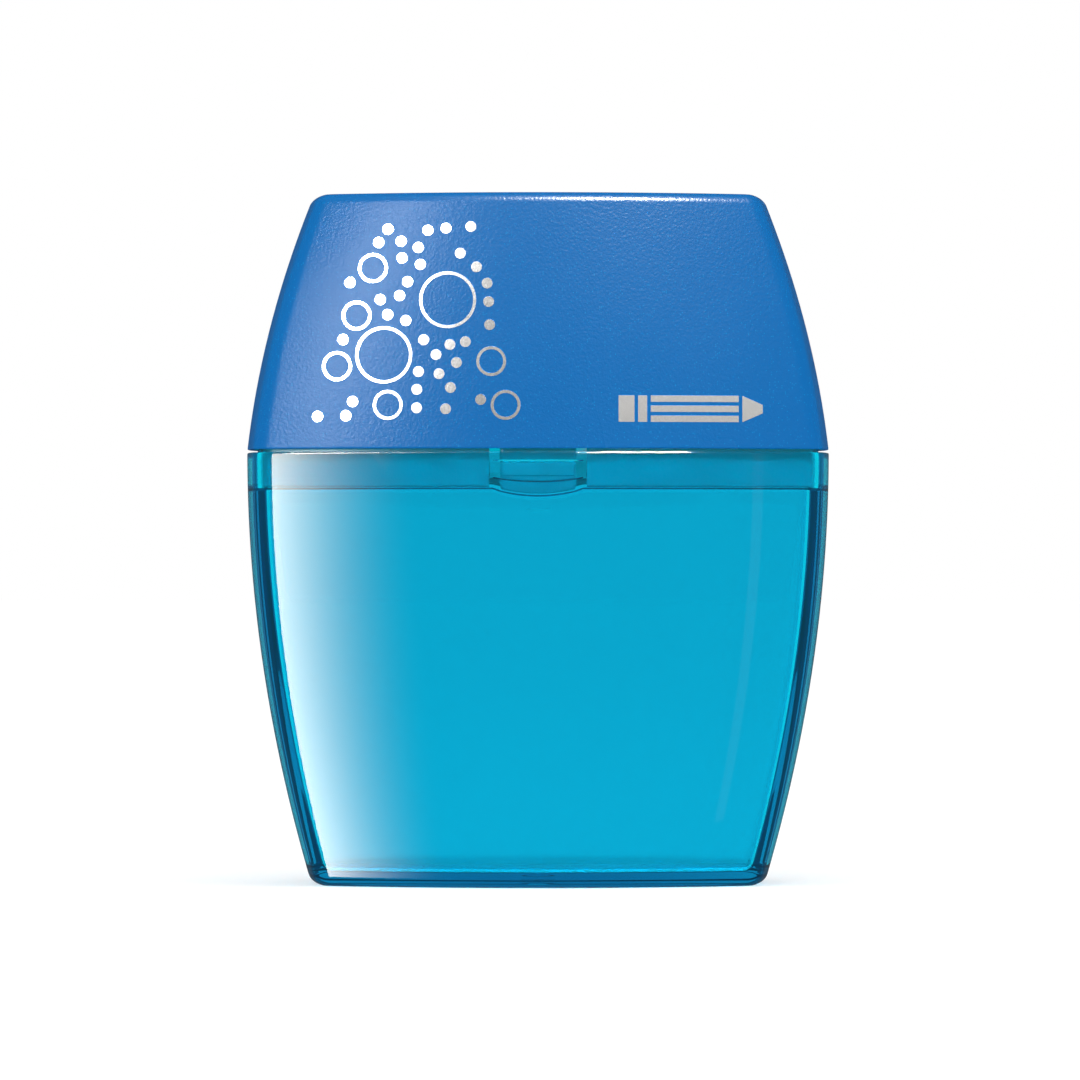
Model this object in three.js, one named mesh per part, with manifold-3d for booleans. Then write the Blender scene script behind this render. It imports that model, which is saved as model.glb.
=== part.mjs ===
// Two-hole canister pencil sharpener, in millimetres, +Z up, front towards -Y.
// The origin is the middle of the face it stands on. A clear container holds the shavings. The head
// plugs into it: a cap shell, a carrier, and a metal twin sharpener with two screwed blades.
import * as THREE from "three";
import { mergeVertices } from "three/addons/utils/BufferGeometryUtils.js";
import Module from "manifold-3d";

// ---- Driving dimensions -------------------------------------------------------------------------

// Outer skin: a barrel that is widest at the seam between container and cap.
const CONTAINER_HEIGHT = 41.5; // standing face to the middle of the seam
const CAP_HEIGHT = 24.5;
const SEAM_WIDTH = 56;
const SEAM_DEPTH = 30;
const BASE_WIDTH = 43.7;
const BASE_DEPTH = 23.6;
const CAP_SIDE_BULGE = 0.9;
const CAP_FRONT_BULGE = 0.5;
const FRONT_CROWN = 6; // how far the front and back faces bow out in plan, at the seam
const SIDE_CROWN = 1; // how far the left and right faces do
const CORNER_RADIUS = 2.6;
const EDGE_RADIUS = 0.9; // top and bottom outer edges

// Walls, seam and clearances.
const SEAM_GAP = 0.3; // shadow gap between cap edge and container rim
const CONTAINER_WALL = 1.6;
const CONTAINER_FLOOR = 1.5;
const CAP_WALL = 1.6;
const CAP_TOP = 1.8;
const RIM_WALL = 0.8; // wall left outside the coupling ring, in container and cap
const SLIP = 0.2; // clearance round the coupling ring and the tongues
const SEAT = 0.1; // clearance between parts that rest on each other
const INNER_EDGE = 0.8; // fillet inside the container floor and the cap top
const GATE_RADIUS = 1.6; // injection gate recess under the floor
const GATE_DEPTH = 0.5;

// Coupling ring and deck of the carrier.
const RING_REACH = 3.4; // how far the ring goes into the container
const RING_RISE = 2.2; // how far it goes up into the cap
const RING_WALL = 1.2;
const DECK_THICK = 1.5;
const DECK_LEDGE = 1.6; // deck left in front of the chute for the shavings
const CRADLE_WALL = 1.4;
const CRADLE_DROP = 4; // how far it ends below the sharpener's top
const CRADLE_WRAP = 2; // how far its sides reach forward of the middle
const TOE_THICK = 0.9; // toes under the sharpener
const TOE_REACH = 4;

// Snap tongues in the front and back of the ring.
const TONGUE_WIDTH = 7.2;
const TONGUE_SLOT = 1;
const TONGUE_DROP = 0.6; // how far its curved tip hangs below the ring
const TIP_RADIUS = 14;
const CATCH_HEIGHT = 1.1; // the rib that clicks into the container rim
const CATCH_ABOVE_RING = 1.2;
const GROOVE_DEPTH = 0.3;

// Twin sharpener, its pencil bores, blades and screws.
const LARGE_BORE = 5.8; // radius, for 11 mm pencils
const SMALL_BORE = 4.1; // radius, for 8 mm pencils
const HOLE_SPACING = 15.5;
const BODY_END_WALL = 2.45; // metal beyond the large bore, to the side
const BODY_FACE_WALL = 0.8; // metal in front of the large bore and behind it
const BODY_HEIGHT = 25;
const GUIDE_LENGTH = 4; // straight part of a bore before the cone
const GRIP_RADIUS = 14;
const GRIP_DEPTH = 1;
const SLOT_BITE = 0.35; // how far the blade face cuts into the cone
const SIDE_ROOM = 4.05; // room left beside the sharpener at the top of the cap
const FACE_ROOM = 3.3; // room left before and behind it there
const HOLE_LIP = 0.5; // chamfer at the mouth of a cap hole
const HOLE_MARGIN = 0.4; // cap hole larger than the bore
const BLADE_INSET = 0.6; // how far the blade ends short of the body's narrow end
const BLADE_THICK = 0.6;
const BLADE_BEVEL = 1.8;
const SCREW_RADIUS = 1.05;
const SCREW_LENGTH = 4.2;
const SCREW_FIT = 0.15; // radial clearance of the thread in the body
const HEAD_RADIUS = 2.2;
const HEAD_HEIGHT = 1.2;
const DRIVER_SLOT = 0.6;

const LARGE = { x: -HOLE_SPACING / 2, bore: LARGE_BORE, tip: 1, bladeWidth: 8.6, screwOut: 6.4 };
const SMALL = { x: HOLE_SPACING / 2, bore: SMALL_BORE, tip: 0.7, bladeWidth: 7.2, screwOut: 4.8 };

// How finely round stretches are cut.
const ARC_STEPS = 8; // each front, back or side face of the plan
const CORNER_STEPS = 4;
const EDGE_STEPS = 3;
const HEIGHT_STEPS = 6;
const ROUND_STEPS = 32;
const PAST = 2; // how far a cutter runs past what it cuts

// ---- Sizes worked out from them -------------------------------------------------------------------

const BODY_HALF = HOLE_SPACING / 2 + LARGE_BORE + BODY_END_WALL;
const BODY_BACK = LARGE_BORE + BODY_FACE_WALL;
const TOP_WIDTH = 2 * (BODY_HALF + SIDE_ROOM + CAP_WALL);
const TOP_DEPTH = 2 * (BODY_BACK + FACE_ROOM + CAP_WALL);
const HEIGHT = CONTAINER_HEIGHT + CAP_HEIGHT;
const FRONT_RADIUS = bowRadius(SEAM_WIDTH / 2, FRONT_CROWN);
const SIDE_RADIUS = bowRadius(SEAM_DEPTH / 2 - FRONT_CROWN, SIDE_CROWN);
const RIM_Z = CONTAINER_HEIGHT - SEAM_GAP / 2;
const CAP_LOW = CONTAINER_HEIGHT + SEAM_GAP / 2;
const RING_LOW = RIM_Z - RING_REACH;
const LEDGE_Z = RING_LOW - SEAT;
const RING_HIGH = CAP_LOW + RING_RISE;
const DECK_LOW = RING_HIGH - DECK_THICK;
const BODY_HIGH = HEIGHT - CAP_TOP - SLIP;
const BODY_LOW = BODY_HIGH - BODY_HEIGHT;
const CONE_TOP = BODY_HIGH - GUIDE_LENGTH;
const CRADLE_TOP = BODY_HIGH - CRADLE_DROP;
const TOE_LOW = BODY_LOW - SEAT - TOE_THICK;
const TONGUE_HIGH = DECK_LOW - SLIP;
const TIP_LOW = RING_LOW - TONGUE_DROP;
const CATCH_LOW = RING_LOW + CATCH_ABOVE_RING;
const RING_INSET = RIM_WALL + SLIP;
const SIDE_OUT = BODY_HALF + SLIP + CRADLE_WALL; // outer face of a cradle side
const BACK_OUT = BODY_BACK + SLIP + CRADLE_WALL;
const CHUTE_FRONT = SEAM_DEPTH / 2 - RING_INSET - RING_WALL - DECK_LEDGE;
const BODY_SPLIT = LARGE.x + LARGE.bladeWidth + SLIP; // where the two blade faces meet

// The radius of an arc that rises by crown over half its chord.
function bowRadius(halfChord, crown) {
  return (halfChord ** 2 + crown ** 2) / (2 * crown);
}

// ---- Solids ---------------------------------------------------------------------------------------

const wasm = await Module();
wasm.setup();

// A closed three.js geometry as a solid that can be cut and joined.
function solid(geometry) {
  const bare = geometry.clone();
  bare.deleteAttribute("normal");
  bare.deleteAttribute("uv");
  const merged = mergeVertices(bare, 1e-4);
  return new wasm.Manifold(
    new wasm.Mesh({
      numProp: 3,
      vertProperties: new Float32Array(merged.attributes.position.array),
      triVerts: new Uint32Array(merged.index.array),
    }),
  );
}

// The solid as a three.js geometry again.
function geometryOf(made) {
  const mesh = made.getMesh();
  const geometry = new THREE.BufferGeometry();
  geometry.setAttribute("position", new THREE.BufferAttribute(mesh.vertProperties, 3));
  geometry.setIndex(new THREE.BufferAttribute(mesh.triVerts, 1));
  geometry.computeVertexNormals();
  return geometry;
}

function block(low, high) {
  const size = high.map((value, axis) => value - low[axis]);
  const middle = high.map((value, axis) => (value + low[axis]) / 2);
  return solid(new THREE.BoxGeometry(...size).translate(...middle));
}

// A drum along the Y axis through (x, z), from y = low to y = high.
function drumAlongY(x, z, radius, low, high, steps = ROUND_STEPS) {
  const drum = new THREE.CylinderGeometry(radius, radius, high - low, steps);
  return solid(drum.translate(x, (low + high) / 2, z));
}

// A solid of revolution about a vertical axis, from [radius, height] pairs that rise along the axis.
function turned(x, profile) {
  const points = profile.map(([radius, z]) => new THREE.Vector2(radius, z));
  const lathe = new THREE.LatheGeometry(points, ROUND_STEPS);
  return solid(lathe.rotateX(Math.PI / 2).translate(x, 0, 0));
}

// ---- The barrel skin --------------------------------------------------------------------------------

// Half a size at height z: a straight taper from the seam to one end, plus a bulge that is
// zero at both. The container's bulge makes its wall upright where it meets the seam.
function halfSize(z, seam, base, top, capBulge) {
  const below = z < CONTAINER_HEIGHT;
  const share = below
    ? (CONTAINER_HEIGHT - z) / CONTAINER_HEIGHT
    : (z - CONTAINER_HEIGHT) / CAP_HEIGHT;
  const end = below ? base : top;
  const bulge = below ? (seam - base) / 8 : capBulge;
  return (seam + (end - seam) * share) / 2 + 4 * bulge * share * (1 - share);
}

function halfWidth(z) {
  return halfSize(z, SEAM_WIDTH, BASE_WIDTH, TOP_WIDTH, CAP_SIDE_BULGE);
}

function halfDepth(z) {
  return halfSize(z, SEAM_DEPTH, BASE_DEPTH, TOP_DEPTH, CAP_FRONT_BULGE);
}

// The centre of the front right corner's arc, which touches the front arc and the right arc.
// It lies where circles round their two centres cross.
function cornerCentre() {
  const front = new THREE.Vector2(0, FRONT_RADIUS - SEAM_DEPTH / 2);
  const side = new THREE.Vector2(SEAM_WIDTH / 2 - SIDE_RADIUS, 0);
  const fromFront = FRONT_RADIUS - CORNER_RADIUS;
  const fromSide = SIDE_RADIUS - CORNER_RADIUS;
  const between = side.clone().sub(front);
  const apart = between.length();
  const along = (fromFront ** 2 - fromSide ** 2 + apart ** 2) / (2 * apart);
  const across = Math.sqrt(fromFront ** 2 - along ** 2);
  const unit = between.normalize();
  return {
    front,
    side,
    corner: new THREE.Vector2(
      front.x + unit.x * along - unit.y * across,
      front.y + unit.y * along + unit.x * across,
    ),
  };
}

// Points on an arc, without its last one, which is the next arc's first.
function arcPoints(centre, radius, from, to, steps) {
  return Array.from({ length: steps }, (_, i) => {
    const angle = from + ((to - from) * i) / steps;
    const x = centre.x + radius * Math.cos(angle);
    return new THREE.Vector2(x, centre.y + radius * Math.sin(angle));
  });
}

// The plan outline at the seam, moved in by inset, anticlockwise: four faces and four corners.
function planOutline(inset) {
  const { front, side, corner } = cornerCentre();
  const frontAngle = corner.clone().sub(front).angle() - 2 * Math.PI;
  const sideAngle = corner.clone().sub(side).angle() - 2 * Math.PI;
  const small = CORNER_RADIUS - inset;
  const back = new THREE.Vector2(0, -front.y);
  const left = new THREE.Vector2(-side.x, 0);
  const mirror = (x, y) => new THREE.Vector2(x * corner.x, y * corner.y);
  const face = (centre, radius, from, to) =>
    arcPoints(centre, radius - inset, from, to, ARC_STEPS);
  const bend = (centre, from, to) => arcPoints(centre, small, from, to, CORNER_STEPS);
  return [
    ...face(front, FRONT_RADIUS, -Math.PI - frontAngle, frontAngle),
    ...bend(mirror(1, 1), frontAngle, sideAngle),
    ...face(side, SIDE_RADIUS, sideAngle, -sideAngle),
    ...bend(mirror(1, -1), -sideAngle, -frontAngle),
    ...face(back, FRONT_RADIUS, -frontAngle, Math.PI + frontAngle),
    ...bend(mirror(-1, -1), Math.PI + frontAngle, Math.PI + sideAngle),
    ...face(left, SIDE_RADIUS, Math.PI + sideAngle, Math.PI - sideAngle),
    ...bend(mirror(-1, 1), Math.PI - sideAngle, Math.PI - frontAngle),
  ];
}

// How far a rounded edge draws the skin in, at a distance from the end.
function edgeInset(distance, edge) {
  if (distance >= edge) return 0;
  return edge - Math.sqrt(edge ** 2 - (edge - distance) ** 2);
}

// Heights from low to high, closer together round the edges.
function levels(low, high, lowEdge, highEdge) {
  const bend = (edge) =>
    Array.from({ length: EDGE_STEPS }, (_, i) => {
      return edge * (1 - Math.cos((Math.PI / 2) * (i / EDGE_STEPS)));
    });
  const start = lowEdge ? bend(lowEdge).map((rise) => low + rise) : [];
  const finish = highEdge ? bend(highEdge).map((drop) => high - drop).reverse() : [];
  const from = low + lowEdge;
  const to = high - highEdge;
  const middle = Array.from({ length: HEIGHT_STEPS + 1 }, (_, i) => {
    return from + ((to - from) * i) / HEIGHT_STEPS;
  });
  return [...start, ...middle, ...finish];
}

// The solid inside the barrel skin moved in by inset, between two heights. It is an extrusion of
// the plan whose layers are then set to their own height, width and depth.
function barrel(inset, low, high, { lowEdge = 0, highEdge = 0 } = {}) {
  const heights = levels(low, high, lowEdge, highEdge);
  const steps = heights.length - 1;
  const shape = new THREE.Shape(planOutline(inset));
  const geometry = new THREE.ExtrudeGeometry(shape, { depth: steps, steps, bevelEnabled: false });
  const place = geometry.attributes.position;
  for (let i = 0; i < place.count; i++) {
    const z = heights[Math.round(place.getZ(i))];
    const rounding = edgeInset(z - low, lowEdge) + edgeInset(high - z, highEdge);
    const wide = (halfWidth(z) - inset - rounding) / (SEAM_WIDTH / 2 - inset);
    const deep = (halfDepth(z) - inset - rounding) / (SEAM_DEPTH / 2 - inset);
    place.setXYZ(i, place.getX(i) * wide, place.getY(i) * deep, z);
  }
  return solid(geometry);
}

// ---- Container ------------------------------------------------------------------------------------

// The space a snap tongue needs in the container: a notch with a curved foot, and a groove.
function tongueNotch(front) {
  const half = TONGUE_WIDTH / 2 + SLIP;
  const [near, far] = front ? [-SEAM_DEPTH, 0] : [0, SEAM_DEPTH];
  const radius = TIP_RADIUS + SLIP;
  const foot = drumAlongY(0, TIP_LOW + TIP_RADIUS, radius, near, far, 4 * ROUND_STEPS);
  const column = block([-half, near, TIP_LOW - PAST], [half, far, LEDGE_Z + SEAT]);
  const notch = barrel(RIM_WALL, TIP_LOW - PAST, RIM_Z).intersect(foot.intersect(column));
  const grooveLow = CATCH_LOW - SLIP;
  const grooveHigh = CATCH_LOW + CATCH_HEIGHT + SLIP;
  const groove = barrel(RIM_WALL - GROOVE_DEPTH, grooveLow, grooveHigh).intersect(
    block([-half, near, grooveLow - PAST], [half, far, grooveHigh + PAST]),
  );
  return notch.add(groove);
}

function containerSolid() {
  const skin = barrel(0, 0, RIM_Z, { lowEdge: EDGE_RADIUS });
  const inside = { lowEdge: INNER_EDGE };
  const cavity = barrel(CONTAINER_WALL, CONTAINER_FLOOR, RIM_Z + PAST, inside);
  const rebate = barrel(RIM_WALL, LEDGE_Z, RIM_Z + PAST);
  const gate = turned(0, [
    [0, -PAST],
    [GATE_RADIUS, -PAST],
    [GATE_RADIUS, GATE_DEPTH / 2],
    [GATE_RADIUS / 2, GATE_DEPTH],
    [0, GATE_DEPTH],
  ]);
  return skin
    .subtract(cavity)
    .subtract(rebate)
    .subtract(gate)
    .subtract(tongueNotch(true))
    .subtract(tongueNotch(false));
}

// ---- Cap shell ------------------------------------------------------------------------------------

// The hole in the cap over one pencil bore, with a chamfered mouth.
function capHole({ x, bore }) {
  const radius = bore + HOLE_MARGIN;
  return turned(x, [
    [0, HEIGHT - CAP_TOP - PAST],
    [radius, HEIGHT - CAP_TOP - PAST],
    [radius, HEIGHT - HOLE_LIP],
    [radius + HOLE_LIP + PAST, HEIGHT + PAST],
    [0, HEIGHT + PAST],
  ]);
}

function capSolid() {
  const skin = barrel(0, CAP_LOW, HEIGHT, { highEdge: EDGE_RADIUS });
  const inside = { highEdge: INNER_EDGE };
  const hollow = barrel(CAP_WALL, CAP_LOW - PAST, HEIGHT - CAP_TOP, inside);
  const rebate = barrel(RIM_WALL, CAP_LOW - PAST, RING_HIGH + SEAT);
  return skin
    .subtract(hollow)
    .subtract(rebate)
    .subtract(capHole(LARGE))
    .subtract(capHole(SMALL));
}

// ---- Carrier --------------------------------------------------------------------------------------

// The three upright walls that hold the sharpener, inside the cap, with toes under its lower end.
function cradle() {
  const low = Math.min(TOE_LOW, DECK_LOW);
  const side = BODY_HALF + SLIP;
  const front = -CRADLE_WRAP;
  const walls = block([-SIDE_OUT, front, low], [SIDE_OUT, BACK_OUT, CRADLE_TOP])
    .subtract(block([-side, front - PAST, low - PAST], [side, BODY_BACK + SLIP, HEIGHT]))
    .intersect(barrel(CAP_WALL + SLIP, low, CRADLE_TOP));
  const toes = block([-side - SLIP, 0, TOE_LOW], [side + SLIP, BACK_OUT, TOE_LOW + TOE_THICK])
    .subtract(block([TOE_REACH - side, -PAST, TOE_LOW - PAST], [side - TOE_REACH, HEIGHT, HEIGHT]));
  return walls.add(toes);
}

// The gap in the ring that a snap tongue stands in.
function ringGap(front) {
  const half = TONGUE_WIDTH / 2 + TONGUE_SLOT;
  const [near, far] = front ? [-SEAM_DEPTH, -SEAM_DEPTH / 4] : [SEAM_DEPTH / 4, SEAM_DEPTH];
  return block([-half, near, RING_LOW - PAST], [half, far, DECK_LOW]);
}

function carrierSolid() {
  const ring = barrel(RING_INSET, RING_LOW, RING_HIGH);
  const hollow = barrel(RING_INSET + RING_WALL, RING_LOW - PAST, DECK_LOW);
  const openingSide = SIDE_OUT - CRADLE_WALL / 2;
  const openingBack = BACK_OUT - CRADLE_WALL / 2;
  const chute = block(
    [-openingSide, -CHUTE_FRONT, DECK_LOW - PAST],
    [openingSide, openingBack, RING_HIGH + PAST],
  );
  return ring
    .subtract(hollow)
    .subtract(ringGap(true))
    .subtract(ringGap(false))
    .subtract(chute)
    .add(cradle());
}

// A snap tongue: a piece of ring wall with a curved tip, and the catch rib across it. On the real
// part a thin web joins it to the deck, so it turns about its upper edge.
function tongueSolid(front) {
  const half = TONGUE_WIDTH / 2;
  const [near, far] = front ? [-SEAM_DEPTH, 0] : [0, SEAM_DEPTH];
  const plate = barrel(RING_INSET, TIP_LOW, TONGUE_HIGH)
    .subtract(barrel(RING_INSET + RING_WALL, TIP_LOW - PAST, TONGUE_HIGH + PAST))
    .intersect(block([-half, near, TIP_LOW], [half, far, TONGUE_HIGH]))
    .intersect(drumAlongY(0, TIP_LOW + TIP_RADIUS, TIP_RADIUS, near, far, 4 * ROUND_STEPS));
  const ribHalf = half - SLIP;
  const rib = barrel(RIM_WALL + SLIP / 4, CATCH_LOW, CATCH_LOW + CATCH_HEIGHT)
    .subtract(barrel(RING_INSET + RING_WALL / 2, CATCH_LOW - PAST, TONGUE_HIGH + PAST))
    .intersect(block([-ribHalf, near, CATCH_LOW], [ribHalf, far, TONGUE_HIGH]));
  return plate.add(rib);
}

// ---- Twin sharpener, blades and screws ----------------------------------------------------------------

// Radius of a pencil cone at height z.
function coneRadius({ bore, tip }, z) {
  return tip + ((bore - tip) * (z - BODY_LOW)) / (CONE_TOP - BODY_LOW);
}

function coneSlope({ bore, tip }) {
  return Math.atan((bore - tip) / (CONE_TOP - BODY_LOW));
}

// The frame a blade lies in: its origin is on the blade face at the screw, +Z runs up the face and
// -Y points out of it.
function bladeSeat(hole) {
  const seat = new THREE.Group();
  const z = (BODY_LOW + CONE_TOP) / 2;
  seat.position.set(hole.x + hole.screwOut, SLOT_BITE - coneRadius(hole, z), z);
  seat.rotation.x = coneSlope(hole);
  seat.updateMatrix();
  return seat;
}

function pencilBore(hole) {
  return turned(hole.x, [
    [0, BODY_LOW - PAST],
    [hole.tip, BODY_LOW - PAST],
    [hole.tip, BODY_LOW],
    [hole.bore, CONE_TOP],
    [hole.bore, BODY_HIGH + PAST],
    [0, BODY_HIGH + PAST],
  ]);
}

// Half the length of a blade face, from its seat to the top of the cone.
function faceReach(hole) {
  return (CONE_TOP - BODY_LOW) / 2 / Math.cos(coneSlope(hole));
}

// What is cut away in front of one blade face, between two sides, and the screw's hole under it.
function bladeFaceCut(hole, left, right) {
  const seat = bladeSeat(hole);
  const top = faceReach(hole);
  const [deep, low] = [2 * BODY_BACK, -BODY_HEIGHT];
  const front = new THREE.BoxGeometry(right - left, deep, top - low);
  front.translate((left + right) / 2 - seat.position.x, -deep / 2, (top + low) / 2);
  const radius = SCREW_RADIUS + SCREW_FIT;
  const length = SCREW_LENGTH + SLIP;
  const thread = new THREE.CylinderGeometry(radius, radius, length + PAST, ROUND_STEPS / 2);
  thread.translate(0, (length - PAST) / 2, 0);
  const placed = [front, thread].map((geometry) => solid(geometry.applyMatrix4(seat.matrix)));
  return placed[0].add(placed[1]);
}

function sharpenerSolid() {
  const body = block([-BODY_HALF, -BODY_BACK, BODY_LOW], [BODY_HALF, BODY_BACK, BODY_HIGH]);
  const gripOut = BODY_HALF + GRIP_RADIUS - GRIP_DEPTH;
  const gripZ = (BODY_LOW + BODY_HIGH) / 2;
  const depth = BODY_BACK + PAST;
  const grip = (side) =>
    drumAlongY(side * gripOut, gripZ, GRIP_RADIUS, -depth, depth, 2 * ROUND_STEPS);
  return body
    .subtract(bladeFaceCut(LARGE, -BODY_HALF - PAST, BODY_SPLIT))
    .subtract(bladeFaceCut(SMALL, BODY_SPLIT, BODY_HALF + PAST))
    .subtract(pencilBore(LARGE))
    .subtract(pencilBore(SMALL))
    .subtract(grip(-1))
    .subtract(grip(1));
}

// A blade in its seat's frame: a steel strip with its cutting edge on the cone's middle line.
function bladeSolid(hole) {
  const { bladeWidth, screwOut } = hole;
  const [inner, outer] = [-SEAT, -SEAT - BLADE_THICK];
  const [low, high] = [BLADE_INSET - faceReach(hole), faceReach(hole) - SLIP];
  const section = new THREE.Shape([
    new THREE.Vector2(-screwOut, inner - BLADE_THICK / 6),
    new THREE.Vector2(BLADE_BEVEL - screwOut, outer),
    new THREE.Vector2(bladeWidth - screwOut, outer),
    new THREE.Vector2(bladeWidth - screwOut, inner),
    new THREE.Vector2(-screwOut, inner),
  ]);
  const strip = new THREE.ExtrudeGeometry(section, { depth: high - low, bevelEnabled: false });
  strip.translate(0, 0, low);
  const eye = drumAlongY(0, 0, SCREW_RADIUS + SLIP, outer - PAST, PAST, ROUND_STEPS / 2);
  return solid(strip).subtract(eye);
}

// A slotted screw in its seat's frame, its thread running along +Y into the body.
function screwSolid() {
  const under = -2 * SEAT - BLADE_THICK; // the head's flat underside
  const top = under - HEAD_HEIGHT;
  const points = [
    [0, top],
    [HEAD_RADIUS * 0.6, top],
    [HEAD_RADIUS * 0.9, top + HEAD_HEIGHT * 0.3],
    [HEAD_RADIUS, under - HEAD_HEIGHT * 0.3],
    [HEAD_RADIUS, under],
    [SCREW_RADIUS, under],
    [SCREW_RADIUS, SCREW_LENGTH - SCREW_RADIUS],
    [SCREW_RADIUS * 0.4, SCREW_LENGTH],
    [0, SCREW_LENGTH],
  ].map(([radius, y]) => new THREE.Vector2(radius, y));
  const turnedBody = solid(new THREE.LatheGeometry(points, ROUND_STEPS / 2));
  const slot = block(
    [-DRIVER_SLOT / 2, top - PAST, -HEAD_RADIUS - PAST],
    [DRIVER_SLOT / 2, top + HEAD_HEIGHT / 2, HEAD_RADIUS + PAST],
  );
  return turnedBody.subtract(slot);
}

// ---- Materials --------------------------------------------------------------------------------------

const clearTurquoise = new THREE.MeshStandardMaterial({
  color: 0x14a9cf,
  roughness: 0.08,
  metalness: 0,
  transparent: true,
  opacity: 0.6,
});
const satinBlue = new THREE.MeshStandardMaterial({ color: 0x0a69b4, roughness: 0.45, metalness: 0.1 });
const tealNylon = new THREE.MeshStandardMaterial({ color: 0x1f8fb4, roughness: 0.4, metalness: 0 });
const castMetal = new THREE.MeshStandardMaterial({ color: 0xb4b7ba, roughness: 0.38, metalness: 1 });
const bladeSteel = new THREE.MeshStandardMaterial({ color: 0xc9cdd2, roughness: 0.2, metalness: 1 });
const screwBrass = new THREE.MeshStandardMaterial({ color: 0xc2b280, roughness: 0.3, metalness: 1 });

// ---- Assembly ---------------------------------------------------------------------------------------

function part(name, made, material) {
  const mesh = new THREE.Mesh(geometryOf(made), material);
  mesh.name = name;
  return mesh;
}

// A blade and its screw, in the frame of their seat.
function bladeGroup(size, hole) {
  const seat = bladeSeat(hole);
  seat.add(part(`${size}_blade`, bladeSolid(hole), bladeSteel));
  seat.add(part(`${size}_blade_screw`, screwSolid(), screwBrass));
  return seat;
}

const sharpener = new THREE.Group();
sharpener.add(
  part("sharpener_body", sharpenerSolid(), castMetal),
  bladeGroup("large", LARGE),
  bladeGroup("small", SMALL),
);

const head = new THREE.Group();
head.add(
  part("cap_shell", capSolid(), satinBlue),
  part("carrier", carrierSolid(), tealNylon),
  part("front_latch_tongue", tongueSolid(true), tealNylon),
  part("back_latch_tongue", tongueSolid(false), tealNylon),
  sharpener,
);

const canister = new THREE.Group();
canister.add(part("container", containerSolid(), clearTurquoise), head);

export default canister;
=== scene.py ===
# %% [markdown]
# # A canister pencil sharpener
#
# The real thing is a small barrel that stands on a desk. A satin blue cap holds a metal twin
# sharpener, and a clear turquoise container below it catches the shavings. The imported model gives
# every piece its size and place. Here each piece gets the smooth surface and the finish that a
# moulded, stamped or machined part really has.

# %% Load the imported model
import math

import bmesh
import bpy
import numpy as np
from mathutils import Matrix, Quaternion, Vector


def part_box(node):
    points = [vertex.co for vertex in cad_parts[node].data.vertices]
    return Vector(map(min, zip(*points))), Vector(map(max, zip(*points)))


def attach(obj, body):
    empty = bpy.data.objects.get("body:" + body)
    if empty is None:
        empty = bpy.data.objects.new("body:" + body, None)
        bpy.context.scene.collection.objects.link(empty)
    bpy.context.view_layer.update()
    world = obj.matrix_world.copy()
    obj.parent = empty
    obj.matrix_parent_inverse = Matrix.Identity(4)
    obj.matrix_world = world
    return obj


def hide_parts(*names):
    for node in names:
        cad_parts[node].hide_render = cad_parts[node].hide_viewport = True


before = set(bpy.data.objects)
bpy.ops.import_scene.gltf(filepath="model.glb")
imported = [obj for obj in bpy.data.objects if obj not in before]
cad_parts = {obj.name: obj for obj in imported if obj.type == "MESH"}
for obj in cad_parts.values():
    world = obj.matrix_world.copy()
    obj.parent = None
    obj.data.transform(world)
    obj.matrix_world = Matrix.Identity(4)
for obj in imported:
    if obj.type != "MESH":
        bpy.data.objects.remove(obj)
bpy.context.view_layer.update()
mm = 0.001

# %% [markdown]
# ## Camera and room
#
# A product picture like this is taken with a long lens from the front, level with the middle of the
# object, so that upright lines stay upright. A wide pale floor runs under it, and the room around is
# white. Clear plastic shows its tint by the light that comes through it, so the room has to be white
# behind it. The same room would lay a grey veil on the front, where a studio has dark cloth round the
# camera, so mirror reflections see a darker room than everything else does.

# %% Camera
CAMERA_DISTANCE = 650 * mm
CAMERA_HEIGHT = 33 * mm
CAMERA_ASIDE = 0.19 * mm
VIEW_ANGLE = math.radians(9.16)

camera_data = bpy.data.cameras.new("camera")
camera_data.lens_unit = "FOV"
camera_data.angle = VIEW_ANGLE
camera_data.clip_start = 0.01
camera = bpy.data.objects.new("camera", camera_data)
camera.location = (CAMERA_ASIDE, -CAMERA_DISTANCE, CAMERA_HEIGHT)
camera.rotation_euler = (math.pi / 2, 0, 0)
bpy.context.scene.collection.objects.link(camera)
bpy.context.scene.camera = camera
bpy.context.scene.view_settings.view_transform = "Standard"
print("camera at", tuple(round(v, 4) for v in camera.location))

# %% Node helpers
def new_material(name):
    """A material with nodes, its node tree and its Principled shader."""
    material = bpy.data.materials.new(name)
    material.use_nodes = True
    return material, material.node_tree, material.node_tree.nodes["Principled BSDF"]


def node(tree, kind, **settings):
    """A new node with its properties set."""
    made = tree.nodes.new(kind)
    for key, value in settings.items():
        setattr(made, key, value)
    return made


def feed(tree, **values):
    """Sets or links a node's inputs: feed(tree, to=node, Scale=3.0, Vector=socket)."""
    target = values.pop("to")
    for key, value in values.items():
        socket = target.inputs[key.replace("_", " ")]
        if isinstance(value, bpy.types.NodeSocket):
            tree.links.new(value, socket)
        else:
            socket.default_value = value


# %% Room
ROOM_LIGHT = 1.0
ROOM_IN_MIRROR = 0.06  # what the plastic's front mirrors instead of the white room
FLOOR_RADIUS = 3.0
FLOOR_DROP = 0.05 * mm


def mirror_share(tree):
    """1 on a ray that left its last surface as a reflection, 0 on every other ray."""
    path = node(tree, "ShaderNodeLightPath")
    both = node(tree, "ShaderNodeMath", operation="MULTIPLY")
    tree.links.new(path.outputs["Is Reflection Ray"], both.inputs[0])
    tree.links.new(path.outputs["Is Glossy Ray"], both.inputs[1])
    return both.outputs[0]


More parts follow.
